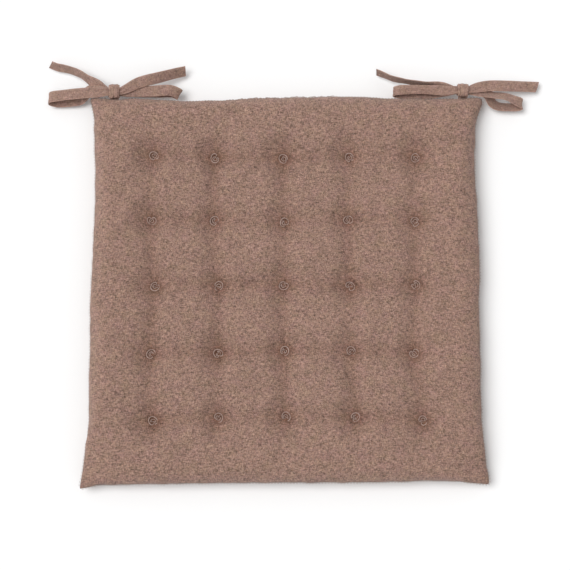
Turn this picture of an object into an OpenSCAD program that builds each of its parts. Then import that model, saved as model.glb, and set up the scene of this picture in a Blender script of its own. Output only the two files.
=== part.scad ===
// Tufted square chair seat pad with two tied bows of flat fabric tape.
// Origin: centre of the underside, on the surface the pad rests on.
// +X to the right, +Y towards the back edge that carries the ties, +Z up.

/* [Pad] */
// Width across the middle of the sides
pad_w = 386; // [370:1:400]
// Depth across the middle of the sides
pad_d = 383; // [370:1:396]
// How far each corner stands out past the middle of its side
corner_out = 6; // [3:0.5:10]
// Height of the crowns between the tufts
crown_z = 36; // [32:1:42]
// Height of the perimeter seam above the underside
seam_z = 16; // [13:1:18]
// Width of the rounded border from the seam to the first crown
border_r = 36; // [28:1:44]
// Thickness of the woven cover
cover_t = 0.8; // [0.6:0.1:1]

/* [Tufts] */
// Spacing of the tufts, both ways
tuft_pitch = 65.5; // [62:0.5:67]
// Height of the top cover where a tuft pulls it down
tuft_top_z = 23; // [21:1:26]
// Height of the bottom cover where a tuft pulls it up
tuft_low_z = 9; // [7:1:11]
// Outside diameter of a yarn rosette
rosette_d = 8.4; // [7:0.2:10]
// Diameter of the yarn shank through the filling
yarn_d = 1.8; // [1.2:0.2:2.4]

/* [Ties] */
// Width of the flat tape
tape_w = 11; // [9:0.5:12]
// Thickness of the folded tape
tape_t = 0.9; // [0.7:0.1:1]

/* [Hidden] */
$fn = 48;

cover_colour = [0.60, 0.49, 0.44];
tape_colour = [0.63, 0.52, 0.47];
yarn_colour = [0.66, 0.53, 0.47];
thread_colour = [0.55, 0.44, 0.39];
fibre_colour = [0.93, 0.92, 0.89];

n_side = 2;                       // tufts each side of the middle one
tuft_reach = n_side * tuft_pitch; // outermost tuft line
flat_r = 9.2;                     // flat floor of a dimple
gap = 0.4;                        // clearance between the nested layers

// ---- grid lines: close together at each tuft, the same both ways ----
step_f = [0, 0.1, 0.28, 0.5, 0.72, 0.9]; // the border's last line, at 0.9, is as close to the tuft
function inner_lines() = [for (i = [-n_side : n_side - 1], f = step_f) (i + f) * tuft_pitch];
function edge_lines(half) = [for (f = [0, 0.02, 0.09, 0.22, 0.45, 0.72, 0.9])
    -half + f * (half - tuft_reach)];
function lines(half) = concat(edge_lines(half), inner_lines(), [tuft_reach],
    [for (i = [6 : -1 : 0]) -edge_lines(half)[i]]);

// ---- outline: sides pulled in between the corners ----
function out_x(x, y, wx, wy) = x * (1 + corner_out / (pad_w / 2) * pow(abs(y) / wy, 8));
function out_y(x, y, wx, wy) = y * (1 + 0.15 * corner_out / (pad_d / 2) * pow(abs(x) / wx, 8));

// ---- height of the two covers over the plan ----
function smooth(t) = let (c = min(1, max(0, t))) c * c * (3 - 2 * c);
function round_in(s) = let (c = min(1, max(0, s / border_r))) sqrt(1 - (1 - c) * (1 - c));
function rise(x, y) = let (a = round_in(pad_w / 2 - abs(x)), b = round_in(pad_d / 2 - abs(y))) a * b;
function near(v) = abs(v) > tuft_reach ? abs(v) - tuft_reach
    : abs(v - tuft_pitch * round(v / tuft_pitch));
function dimple(x, y, r1) = smooth((r1 - norm([near(x), near(y)])) / (r1 - flat_r));
function inside(v) = smooth((tuft_reach + 24 - abs(v)) / 24);
function valley(x, y) = 0.34 * max(smooth(1 - near(x) / 20) * inside(y), smooth(1 - near(y) / 20) * inside(x));
function top_z(x, y) = seam_z + (crown_z - seam_z) * rise(x, y)
    - (crown_z - tuft_top_z) * max(dimple(x, y, 30), valley(x, y) * rise(x, y));
function low_z(x, y) = seam_z * (1 - rise(x, y)) + tuft_low_z * dimple(x, y, 22);

// ---- a closed solid between an upper and a lower grid of points ----
function flat(list) = [for (a = list, b = a) b];
module grid_solid(up, low) {
    n = len(up);
    m = len(up[0]);
    k = n * m;
    pts = concat(flat(up), flat(low));
    up_f = [for (i = [0 : n - 2], j = [0 : m - 2]) each
        let (a = i * m + j, b = a + m) [[a, a + 1, b + 1], [a, b + 1, b]]];
    low_f = [for (i = [0 : n - 2], j = [0 : m - 2]) each
        let (a = k + i * m + j, b = a + m) [[a, b + 1, a + 1], [a, b, b + 1]]];
    rim = concat([for (j = [0 : m - 1]) j],
                 [for (i = [1 : n - 1]) i * m + m - 1],
                 [for (j = [m - 2 : -1 : 0]) (n - 1) * m + j],
                 [for (i = [n - 2 : -1 : 1]) i * m]);
    r = len(rim);
    rim_f = [for (q = [0 : r - 1]) each
        let (a = rim[q], b = rim[(q + 1) % r]) [[a, a + k, b + k], [a, b + k, b]]];
    polyhedron(points = pts, faces = concat(up_f, low_f, rim_f), convexity = 6);
}

// Share of an inset that a point takes: all of it at the outline, almost none over the tufts
function draw_in(f) = sign(f) * pow(abs(f), 12);

// One layer of the pad: which = 1 top or -1 bottom, inset from the outline and sunk from the outer face
function layer(inset, sink, which) =
    let (wx = pad_w / 2, wy = pad_d / 2, lx = lines(wx), ly = lines(wy),
         n = len(lx), m = len(ly))
    [for (i = [0 : n - 1]) [for (j = [0 : m - 1])
        let (x = lx[i], y = ly[j],
             rim = i == 0 || j == 0 || i == n - 1 || j == m - 1,
             z = which > 0 ? top_z(x, y) : low_z(x, y),
             s = min(sink, 0.7 * abs(z - seam_z)))
        [out_x(x, y, wx, wy) - inset * draw_in(x / wx), out_y(x, y, wx, wy) - inset * draw_in(y / wy),
         rim ? seam_z : z - which * s]]];

module top_cover() color(cover_colour)
    grid_solid(layer(0, 0, 1), layer(cover_t, cover_t, 1));

module bottom_cover() color(cover_colour)
    grid_solid(layer(cover_t, cover_t, -1), layer(0, 0, -1));

module fibre_filling() {
    u = layer(4, cover_t + gap, 1);
    l = layer(4, cover_t + gap, -1);
    n = len(u);
    m = len(u[0]);
    function open(a, w) = [for (i = [0 : n - 1]) [for (j = [0 : m - 1])
        i == 0 || j == 0 || i == n - 1 || j == m - 1 ? a[i][j] + [0, 0, 0.3 * w] : a[i][j]]];
    color(fibre_colour) grid_solid(open(u, 1), open(l, -1));
}

// ---- a tube or flat ribbon swept along rings of points ----
module swept(rings, closed = false) {
    n = len(rings);
    m = len(rings[0]);
    last = closed ? n - 1 : n - 2;
    side = [for (i = [0 : last], j = [0 : m - 1]) each
        let (a = i * m + j, b = i * m + (j + 1) % m,
             c = ((i + 1) % n) * m + j, d = ((i + 1) % n) * m + (j + 1) % m)
        [[a, c, d], [a, d, b]]];
    caps = closed ? [] : concat([for (j = [1 : m - 2]) [0, j, j + 1]],
        [for (j = [1 : m - 2]) [(n - 1) * m, (n - 1) * m + j + 1, (n - 1) * m + j]]);
    polyhedron(points = flat(rings), faces = concat(side, caps), convexity = 8);
}

function unit(v) = v / norm(v);
// Catmull-Rom interpolation of route rows
function mix4(a, b, c, d, t) = 0.5 * (2 * b + (c - a) * t + (2 * a - 5 * b + 4 * c - d) * t * t
    + (3 * b - a - 3 * c + d) * t * t * t);
function fine(route, k) = let (n = len(route)) concat(
    [for (i = [0 : n - 2], s = [0 : k - 1])
        mix4(route[max(0, i - 1)], route[i], route[i + 1], route[min(n - 1, i + 2)], s / k)],
    [route[n - 1]]);

// A route row is x, y, z, yaw and tilt of the tape's width, and the width as a share of tape_w
module tape(route, k = 3) {
    p = fine(route, k);
    n = len(p);
    rings = [for (i = [0 : n - 1])
        let (c = [p[i][0], p[i][1], p[i][2]],
             a = p[max(0, i - 1)], b = p[min(n - 1, i + 1)],
             t = unit([b[0] - a[0], b[1] - a[1], b[2] - a[2]]),
             w0 = [-sin(p[i][3]) * cos(p[i][4]), cos(p[i][3]) * cos(p[i][4]), sin(p[i][4])],
             w = unit(w0 - t * (w0 * t)),
             u = cross(t, w),
             hw = w * tape_w * p[i][5] / 2, hu = u * tape_t / 2)
        [c + hw + hu, c - hw + hu, c - hw - hu, c + hw - hu]];
    swept(rings);
}

// Thin thread round the inside of the seam
module perimeter_seam_thread() {
    wx = pad_w / 2;
    wy = pad_d / 2;
    q = [for (i = [0 : 15]) -1 + i / 8];
    ring = concat([for (t = q) [t, -1]], [for (t = q) [1, t]],
                  [for (t = q) [-t, 1]], [for (t = q) [-1, -t]]);
    path = [for (p = ring) let (x = p[0] * wx * 0.9999, y = p[1] * wy * 0.9999)
        [out_x(x, y, wx, wy) * (wx - 2.2) / wx, out_y(x, y, wx, wy) * (wy - 2.2) / wy, seam_z]];
    n = len(path);
    rings = [for (i = [0 : n - 1])
        let (t = unit(path[(i + 1) % n] - path[(i + n - 1) % n]), s = [t[1], -t[0], 0])
        [for (a = [0 : 60 : 300]) path[i] + 0.3 * (s * cos(a) + [0, 0, 1] * sin(a))]];
    color(thread_colour) swept(rings, closed = true);
}

// Hand stitches that close the filling gap in the middle of the back edge
module closing_stitches() color(thread_colour)
    for (i = [-8 : 8])
        translate([i * 6, pad_d / 2 + 0.5, seam_z]) rotate([0, 90 + 18 * (i % 2 == 0 ? 1 : -1), 0])
            cylinder(h = 4.6, r = 0.35, center = true, $fn = 16);

module at_tufts() for (i = [-n_side : n_side], j = [-n_side : n_side])
    translate([i * tuft_pitch, j * tuft_pitch, 0]) children();

// Small looped rosette: a ring of yarn round a low middle
module rosette() {
    rr = rosette_d / 2;
    rotate_extrude() {
        translate([rr - 1.3, 1.3]) circle(r = 1.3, $fn = 24);
        square([rr - 1.3, 1.9]);
    }
}

module tuft_rosettes_top() color(yarn_colour)
    at_tufts() translate([0, 0, tuft_top_z]) rosette();

module tuft_rosettes_bottom() color(yarn_colour)
    at_tufts() translate([0, 0, tuft_low_z]) mirror([0, 0, 1]) rosette();

module tuft_yarns() color(yarn_colour)
    at_tufts() translate([0, 0, tuft_low_z]) cylinder(h = tuft_top_z - tuft_low_z, d = yarn_d);

// ---- ties ----
left_x = -173;
right_x = 179;
root_y = pad_d / 2 + 7.5; // the line about which a bow swings
left_knot_y = 200;
right_knot_y = 201.3;
knot_z = 16;

// Doubled tape ends that come out of the seam, side by side under the knot
module tie_root(x) color(tape_colour)
    for (s = [-1, 1])
        translate([x + s * 4 - 3.5, pad_d / 2 + 0.45, seam_z + s * 0.6 - 0.45])
            cube([7, 0.8, 0.9]);

// Dense row of thread that holds the tape ends in the seam
module bartack(x) color(thread_colour)
    for (i = [0 : 4])
        translate([x + 1.2 + i * 1.4, pad_d / 2 + 0.85, seam_z + 1.35]) rotate([90, 0, 14 * (i % 2 == 0 ? 1 : -1)])
            cylinder(h = 0.8, r = 0.28, center = true, $fn = 16);

module left_tie_root() tie_root(left_x);
module left_root_bartack() bartack(left_x);
module right_tie_root() tie_root(right_x);
module right_root_bartack() bartack(right_x);

// Turn of tape round the crossing layers: a rounded flat ring, open along X
module knot_turn(x, y) color(tape_colour)
    translate([x, y, knot_z]) rotate([90, 0, 90])
        linear_extrude(height = 11, center = true) difference() {
            union() {
                square([5.2, 8.6], center = true);
                for (s = [-1, 1]) translate([s * 2.6, 0]) circle(r = 4.3);
            }
            union() {
                square([5.2, 5.6], center = true);
                for (s = [-1, 1]) translate([s * 2.6, 0]) circle(r = 2.8);
            }
        }
module left_knot_turn() knot_turn(left_x, left_knot_y);
module right_knot_turn() knot_turn(right_x, right_knot_y);

// Left bow: tape a makes the outer loop and the inner tail and lies on top, tape b the inner loop and the outer tail
left_a = [
    [-168, 200, 16.7, 0, 0, 0.7], [-173, 200, 16.7, 0, 0, 0.7], [-180, 200, 16.5, 0, 0, 0.75], [-189, 201.2, 15.4, 0, 0, 0.9],
    [-198, 201.9, 12.8, 8, 0, 1], [-206, 198, 8.4, 18, 0, 1], [-214, 193.8, 5, 8, 0, 1], [-224, 192.6, 4, 0, 0, 1],
    [-233, 192.6, 4.3, 0, 0, 1], [-239.2, 194, 7.2, 0, 0, 1], [-237, 195.9, 11.3, 0, 0, 1], [-223, 197, 14.8, 2, 0, 1],
    [-206, 198.3, 17, 2, 0, 1], [-194, 199.1, 17.8, 2, 0, 0.95], [-186, 199.4, 17.9, 1, 0, 0.86],
    [-180, 199.8, 17.9, 0, 0, 0.77], [-173, 200, 17.9, 0, 0, 0.7], [-167, 200.2, 17.9, 0, 0, 0.7],
    [-160.6, 202.4, 18.7, 16, 4, 0.85], [-149.7, 207.6, 19.7, 21, 12, 1], [-140, 210.9, 19.4, 20, 20, 1],
    [-130.7, 213.6, 17.8, 19, 28, 1], [-114.4, 219.4, 12.4, 19, 36, 1], [-101.8, 223.7, 8, 19, 38, 1]];
left_b = [
    [-178.5, 200, 14.1, 0, 0, 0.7], [-173, 200, 14.1, 0, 0, 0.7], [-167, 200, 14, 0, 0, 0.75],
    [-158, 200.4, 12.8, 0, 0, 0.92], [-145, 200.8, 11.5, 0, 0, 1], [-128, 200.8, 11, 0, 0, 1], [-114, 200.4, 10.9, -4, 0, 1],
    [-107.8, 198.8, 12.6, -16, 0, 1], [-109.6, 199.5, 15.3, -16, 0, 1], [-118, 200.9, 16.4, -4, 0, 1],
    [-130.6, 200.6, 16.6, 1, 0, 1], [-147, 200.2, 16.3, 1, 0, 1], [-158, 200, 15.8, 0, 0, 0.92],
    [-167, 200, 15.4, 0, 0, 0.73], [-173, 200, 15.4, 0, 0, 0.7], [-179, 200.3, 15.3, 0, 0, 0.7],
    [-184, 203.2, 14.4, -26, 2, 0.78], [-189, 206.8, 13.1, -32, 20, 0.92], [-194.6, 210.2, 12.2, -36, 42, 1],
    [-200.4, 214.2, 11.5, -38, 56, 1], [-207, 218.8, 11, -34, 60, 1], [-215.6, 223.4, 10, -22, 60, 1],
    [-224, 226, 9, -16, 60, 1], [-231.5, 228, 8, -18, 60, 1], [-239, 230.9, 7, -22, 60, 1]];

// Right bow: tape a makes the outer loop and the inner tail, tape b the inner loop and the outer tail and lies on top
right_a = [
    [173.5, 201.3, 14.1, 0, 0, 0.7], [179, 201.3, 14.1, 0, 0, 0.7], [185.5, 201.4, 13.9, 0, 0, 0.73],
    [195, 202.2, 12.8, 0, 0, 0.92], [203.5, 200.2, 10.2, -22, 0, 1], [210, 194.4, 7.6, -36, -10, 1],
    [217, 189.8, 5.6, -16, -24, 1], [225, 187.8, 5, -3, -30, 1], [233.5, 187.6, 5.4, 0, -24, 1],
    [239.4, 188.6, 8, -2, -12, 1], [237.6, 190, 10.8, -20, -12, 1], [230.3, 192.8, 12.4, -28, -24, 1],
    [220, 195.9, 13.4, -11, -38, 1], [208.5, 197.2, 14.2, -2, -38, 1], [199.5, 198.9, 14.9, 0, -26, 0.96],
    [192, 200.4, 15.3, 0, -8, 0.85], [185.5, 201.2, 15.4, 0, 0, 0.73], [179, 201.3, 15.4, 0, 0, 0.7],
    [172.5, 201.4, 15.3, -2, 0, 0.7], [165, 203.3, 13.6, -12, 20, 0.84], [156, 206, 13, -9, 54, 0.95],
    [141, 208.3, 11.4, -8, 76, 1], [127.3, 210.6, 10.6, -11, 79, 1], [110, 214.8, 9.8, -20, 77, 1],
    [92.5, 222.4, 9, -27, 75, 1]];
right_b = [
    [184.5, 201.3, 16.7, 0, 0, 0.7], [179, 201.3, 16.7, 0, 0, 0.7], [172, 201.3, 16.7, 0, 0, 0.73],
    [163, 200.8, 15.9, 0, 0, 0.92], [150, 199.8, 14, 0, 0, 1], [132, 199.6, 12.6, 0, 0, 1], [117, 199.7, 12.3, 0, 0, 1],
    [109.3, 200, 14.5, 0, 0, 1], [112, 200.3, 17.6, 0, 0, 1], [121, 200.5, 18.9, 0, 0, 1], [138, 200.4, 19.1, 0, 0, 1],
    [155, 200.2, 18.9, 0, 0, 0.98], [164, 200.6, 18.4, 0, 0, 0.87], [172, 201.2, 18, 0, 0, 0.73],
    [179, 201.3, 17.9, 0, 0, 0.7], [185, 201.4, 17.9, 0, 0, 0.7], [190, 202.8, 18.1, 9, 0, 0.86],
    [196.5, 204.4, 18.1, 9, 0, 0.97], [205.5, 205.7, 17.3, 4, 0, 1], [219.6, 206.4, 15, 1, 0, 1], [237.6, 207, 11, 1, 0, 1],
    [256, 207.5, 6, 1, 0, 1]];

module left_tie_tape_a() color(tape_colour) tape(left_a);
module left_tie_tape_b() color(tape_colour) tape(left_b);
module right_tie_tape_a() color(tape_colour) tape(right_a);
module right_tie_tape_b() color(tape_colour) tape(right_b);

top_cover();
bottom_cover();
fibre_filling();
perimeter_seam_thread();
closing_stitches();
tuft_rosettes_top();
tuft_yarns();
tuft_rosettes_bottom();
left_tie_root();
left_root_bartack();
right_tie_root();
right_root_bartack();
left_tie_tape_a();
left_tie_tape_b();
left_knot_turn();
right_tie_tape_a();
right_tie_tape_b();
right_knot_turn();
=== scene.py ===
import math

import bpy
import numpy as np
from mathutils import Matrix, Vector


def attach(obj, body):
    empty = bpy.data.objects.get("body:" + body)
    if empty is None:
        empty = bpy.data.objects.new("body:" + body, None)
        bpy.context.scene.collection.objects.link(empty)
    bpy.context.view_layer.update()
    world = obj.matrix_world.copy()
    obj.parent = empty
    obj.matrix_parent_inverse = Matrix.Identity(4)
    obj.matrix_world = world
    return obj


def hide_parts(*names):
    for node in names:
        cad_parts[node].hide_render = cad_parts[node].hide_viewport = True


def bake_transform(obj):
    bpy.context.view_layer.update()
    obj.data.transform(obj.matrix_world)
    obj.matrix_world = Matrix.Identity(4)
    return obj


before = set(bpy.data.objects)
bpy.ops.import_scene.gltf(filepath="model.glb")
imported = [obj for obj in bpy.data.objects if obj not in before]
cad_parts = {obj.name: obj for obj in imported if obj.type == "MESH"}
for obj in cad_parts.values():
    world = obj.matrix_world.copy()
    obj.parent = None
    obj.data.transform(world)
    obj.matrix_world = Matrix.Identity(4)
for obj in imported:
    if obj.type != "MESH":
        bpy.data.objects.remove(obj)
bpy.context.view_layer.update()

MM = 0.001
RNG = np.random.default_rng(11)


# ---------------------------------------------------------------- helpers
def linear(c):
    """sRGB 0..255 to linear."""
    v = np.array(c, float) / 255
    return tuple(np.where(v <= 0.04045, v / 12.92, ((v + 0.055) / 1.055) ** 2.4)) + (1.0,)


def new_mesh(name, verts_mm, faces, smooth=True):
    me = bpy.data.meshes.new(name)
    me.from_pydata((np.asarray(verts_mm, float) * MM).tolist(), [], faces)
    me.update()
    if smooth:
        me.polygons.foreach_set("use_smooth", np.ones(len(me.polygons), bool))
    o = bpy.data.objects.new(name, me)
    bpy.context.scene.collection.objects.link(o)
    return o


def cloth_coordinates(o, xyz_mm):
    """Where each point sits on the flat cloth, in millimetres: the weave is drawn from this."""
    a = o.data.attributes.new("cloth", "FLOAT_VECTOR", "POINT")
    a.data.foreach_set("vector", np.asarray(xyz_mm, np.float32).ravel())


def unit(v):
    return v / np.maximum(np.linalg.norm(v, axis=-1, keepdims=True), 1e-12)


def catmull(rows, k):
    """Catmull-Rom points through the rows, k per span."""
    r = np.asarray(rows, float)
    p = np.vstack([r[:1], r, r[-1:]])
    out = []
    for i in range(len(r) - 1):
        a, b, c, d = p[i : i + 4]
        for t in np.arange(k) / k:
            out.append(
                0.5 * (2 * b + (c - a) * t + (2 * a - 5 * b + 4 * c - d) * t * t + (3 * b - a - 3 * c + d) * t**3)
            )
    out.append(r[-1])
    return np.array(out)


def smooth_step(t):
    t = np.clip(t, 0, 1)
    return t * t * (3 - 2 * t)


def value_noise(x, y, seed):
    """Smooth noise from -1 to 1 on a unit lattice."""
    g = np.random.default_rng(seed).uniform(-1, 1, (64, 64))
    xi, yi = np.floor(x).astype(int), np.floor(y).astype(int)
    fx, fy = smooth_step(x - xi), smooth_step(y - yi)
    a, b = g[xi % 64, yi % 64], g[(xi + 1) % 64, yi % 64]
    c, d = g[xi % 64, (yi + 1) % 64], g[(xi + 1) % 64, (yi + 1) % 64]
    return (a * (1 - fx) + b * fx) * (1 - fy) + (c * (1 - fx) + d * fx) * fy


# ---------------------------------------------------------------- camera
TILT = math.radians(7.5)
DIST, PER_PX = 1500.0, 0.991
cam_data = bpy.data.cameras.new("Camera")
cam = bpy.data.objects.new("Camera", cam_data)
bpy.context.scene.collection.objects.link(cam)
bpy.context.scene.camera = cam
back = Vector((0, -math.sin(TILT), math.cos(TILT)))
up = Vector((0, math.cos(TILT), math.sin(TILT)))
cam.location = (Vector((0, 0, 18)) + back * DIST + up * 2.97 + Vector((-0.5, 0, 0))) * MM
cam.rotation_euler = (TILT, 0, 0)
cam_data.sensor_width = 36
cam_data.lens = DIST / PER_PX / 570 * 36
cam_data.clip_start, cam_data.clip_end = 0.05, 20


# ---------------------------------------------------------------- pad cover
PITCH, SEAM_Z, CROWN_Z = 65.5, 16.0, 36.0
TUFT_TOP, TUFT_LOW = 22.5, 9.0
CELLS_IN, CELLS_OUT = 18, 19
REST_PITCH, REST_HALF_X, REST_HALF_Y = 67.6, 202.5, 200.5

# how far each tuft was sewn from its place on an even grid, in mm; back row first
TUFT_OFF = np.array([
    [(0, 1), (-5, -1.5), (-2, -2), (-1.5, -0.5), (-1.5, -1)],
    [(-2, 1), (-5, 1), (-1, -1), (-3.5, 1.5), (-2.5, 0)],
    [(2.5, 0.5), (-0.5, 1), (-2, 1.5), (-1.5, 1), (-2.5, 2)],
    [(-1, -0.5), (-0.5, 0), (-1, 2.5), (-1, 2), (-5, 0)],
    [(2, -1), (0, 2.5), (0.5, 3.5), (2.5, 3), (3, 0)],
], float)[::-1]

# the seam's outline in plan: along each side, (place, how far out), in mm
SIDE_LEFT = [(-197, 202.4), (-188, 200), (-180, 199), (-165, 197), (-149, 194.4), (-133, 192.6), (-102, 193), (-55, 193),
             (-15, 194.3), (17, 192.2), (48, 191.5), (88, 190.3), (128, 190.8), (165, 192.6), (180, 194.5), (192, 198.5)]
SIDE_RIGHT = [(-193, 198.5), (-183, 197.5), (-165, 194.3), (-149, 193.2), (-133, 191.6), (-102, 191), (-55, 190.8),
              (-15, 190.6), (17, 192), (48, 191.6), (88, 190.2), (118, 188.4), (137, 188.8), (160, 190), (170, 191.4), (178, 194.6), (185, 199.4), (192, 200.6)]
SIDE_BACK = [(-200, 193.8), (-195, 194.6), (-189, 194.4), (-182, 192.6), (-172, 192), (-147, 192), (-128, 190.6), (-106, 189.2), (-95, 189.2),
             (-55, 190.2), (-35, 192.2), (20, 193.4), (50, 194.4), (88, 193.4), (100, 192.4), (140, 192), (160, 192.4), (172, 193.2), (184, 193.6), (190, 195.2), (196, 196.2), (200, 196)]
SIDE_FRONT = [(-202, 196.4), (-180, 193), (-150, 192), (-100, 191.2), (-50, 190.6), (0, 190.6), (60, 190.4), (110, 189.5),
              (140, 188.3), (165, 188.6), (197, 192.4)]


def side(points, along):
    p = np.array(points, float)
    at = np.linspace(p[0, 0], p[-1, 0], 400)
    v = np.interp(at, p[:, 0], p[:, 1])
    k = np.ones(17) / 17
    s = np.convolve(np.pad(v, 8, mode="edge"), k, mode="valid")
    s[:9], s[-9:] = v[:9], v[-9:]
    return np.interp(along, at, s)


def knots(inner, half):
    """Positions of the grid lines along one axis: even between tufts, even in the border."""
    a = np.arange(-2 * CELLS_IN, 2 * CELLS_IN + 1) / CELLS_IN * inner
    b = 2 * inner + (half - 2 * inner) * np.arange(1, CELLS_OUT + 1) / CELLS_OUT
    return np.concatenate([-b[::-1], a, b])


def pad_plan(u, v):
    """Plan position of the cloth at grid places u, v, both on the even grid of half-size 1 past the tufts."""
    reach = 2 * PITCH
    bx, by = np.clip((np.abs(u) - reach) / (193 - reach), 0, 1), np.clip((np.abs(v) - reach) / (192 - reach), 0, 1)
    # where the sides are, seen from this place
    lx, rx = side(SIDE_LEFT, v * 1.015), side(SIDE_RIGHT, v * 1.01)
    fy, ky = side(SIDE_FRONT, u * 1.035), side(SIDE_BACK, u * 1.035)
    x = np.where(np.abs(u) <= reach, u, np.sign(u) * (reach + (np.where(u < 0, lx, rx) - reach) * bx))
    y = np.where(np.abs(v) <= reach, v, np.sign(v) * (reach + (np.where(v < 0, fy, ky) - reach) * by))
    # tufts off the even grid, fading out towards the seam
    ctrl = np.array([-193, -131, -65.5, 0, 65.5, 131, 193])
    grid = np.zeros((7, 7, 2))
    grid[1:6, 1:6] = TUFT_OFF.transpose(1, 0, 2)
    fu, fv = np.interp(u, ctrl, np.arange(7)), np.interp(v, ctrl, np.arange(7))
    i, j = np.clip(fu.astype(int), 0, 5), np.clip(fv.astype(int), 0, 5)
    a, b = smooth_step(fu - i)[..., None], smooth_step(fv - j)[..., None]
    off = (grid[i, j] * (1 - a) + grid[i + 1, j] * a) * (1 - b) + (grid[i, j + 1] * (1 - a) + grid[i + 1, j + 1] * a) * b
    return x + off[..., 0], y + off[..., 1]


def near(v):
    return np.where(np.abs(v) > 2 * PITCH, np.abs(v) - 2 * PITCH, np.abs(v - PITCH * np.round(v / PITCH)))


def first_height(u, v, top):
    """The shape that the simulation starts from, before the cloth finds its own."""
    def fall(s, r):
        c = np.clip(s / r, 0, 1)
        return np.sqrt(1 - (1 - c) ** 2)
    rise = fall(193 - np.abs(u), 40) * fall(192 - np.abs(v), 40)
    r = np.hypot(near(u), near(v))
    inside = lambda w: smooth_step((2 * PITCH + 24 - np.abs(w)) / 24)
    valley = 0.3 * np.maximum(smooth_step(1 - near(u) / 22) * inside(v), smooth_step(1 - near(v) / 22) * inside(u))
    d = np.maximum(smooth_step(1 - (r - 4) / 24), valley)
    if top:
        return SEAM_Z + (CROWN_Z - 4 - SEAM_Z) * rise - (CROWN_Z - 4 - TUFT_TOP) * d * rise
    return SEAM_Z - (SEAM_Z - 1) * rise + (TUFT_LOW - 1) * d * rise


def build_cover():
    gu, gv = knots(PITCH, 193.0), knots(PITCH, 192.0)
    ru, rv = knots(REST_PITCH, REST_HALF_X), knots(REST_PITCH, REST_HALF_Y)
    n = len(gu)
    U, V = np.meshgrid(gu, gv, indexing="ij")
    RU, RV = np.meshgrid(ru, rv, indexing="ij")
    X, Y = pad_plan(U, V)
    top = np.stack([X, Y, first_height(U, V, True)], -1).reshape(-1, 3)
    low = np.stack([X, Y, first_height(U, V, False)], -1).reshape(-1, 3)
    flat = np.stack([RU, RV, np.full_like(RU, SEAM_Z)], -1).reshape(-1, 3)
    idx = np.arange(n * n).reshape(n, n)
    edge = np.zeros((n, n), bool)
    edge[0], edge[-1], edge[:, 0], edge[:, -1] = True, True, True, True
    low_id = np.where(edge.ravel(), np.arange(n * n), -1)
    inner = np.flatnonzero(~edge.ravel())
    low_id[inner] = n * n + np.arange(len(inner))
    verts = np.vstack([top, low[inner]])
    rest = np.vstack([flat, flat[inner]])
    # the faces of the upper panel, and of the lower one wound the other way
    a, b = idx[:-1, :-1].ravel(), idx[1:, :-1].ravel()
    c, d = idx[1:, 1:].ravel(), idx[:-1, 1:].ravel()
    up_f = np.stack([a, b, c, d], 1)
    dn_f = np.stack([low_id[a], low_id[d], low_id[c], low_id[b]], 1)
    faces = np.vstack([up_f, dn_f]).tolist()
    o = new_mesh("pad_cover", verts, faces)
    info = {"n": n, "low_id": low_id, "edge": edge, "U": U, "V": V, "rest": rest, "top_count": n * n}
    return o, info


def simulate_cover(o, info):
    n, low_id = info["n"], info["low_id"]
    U, V = info["U"].ravel(), info["V"].ravel()
    r = np.hypot(near(U), near(V))
    inner = np.maximum(np.abs(U), np.abs(V)) < 2 * PITCH + 8
    pinned = np.flatnonzero((r < 3.9) & inner)
    pin = o.vertex_groups.new(name="pin")
    pin.add([int(i) for i in np.unique(np.concatenate([pinned, low_id[pinned]]))], 1.0, "REPLACE")
    o.shape_key_add(name="Basis")
    key = o.shape_key_add(name="Cut")
    key.data.foreach_set("co", (info["rest"] * MM).astype(np.float32).ravel())
    key.value = 0.0
    m = o.modifiers.new("Cloth", "CLOTH")
    s = m.settings
    s.quality = 6
    s.mass = 0.25
    s.air_damping = 4
    s.tension_stiffness, s.compression_stiffness, s.shear_stiffness = 25, 12, 6
    s.tension_damping, s.compression_damping, s.shear_damping = 8, 8, 8
    s.bending_stiffness = 1.5
    s.bending_damping = 1.0
    s.vertex_group_mass = "pin"
    s.pin_stiffness = 1
    s.rest_shape_key = key
    s.use_pressure = True
    s.uniform_pressure_force = PRESSURE
    s.effector_weights.gravity = 0
    m.collision_settings.use_collision = False
    m.collision_settings.use_self_collision = False
    m.point_cache.frame_start, m.point_cache.frame_end = 1, FRAMES
    scene = bpy.context.scene
    for f in range(1, FRAMES + 1):
        scene.frame_set(f)
    e = o.evaluated_get(bpy.context.evaluated_depsgraph_get())
    me = e.to_mesh()
    co = np.empty(len(me.vertices) * 3, np.float32)
    me.vertices.foreach_get("co", co)
    e.to_mesh_clear()
    o.modifiers.clear()
    o.shape_key_clear()
    scene.frame_set(1)
    return co.reshape(-1, 3).astype(float) / MM


PRESSURE, FRAMES = 4.0, 24
TUFTS = [(i, j) for j in range(5) for i in range(5)]


def spread_in(i, n, power=1.3):
    """1 at the grid's first line, 0 from the outermost tufts inwards."""
    return np.clip(1 - np.arange(n) / CELLS_OUT, 0, 1) ** power if i == 0 else np.clip(1 - np.arange(n)[::-1] / CELLS_OUT, 0, 1) ** power


def softened(v, k=11):
    return np.convolve(np.pad(v, k // 2, mode="edge"), np.ones(k) / k, mode="valid")


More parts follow.
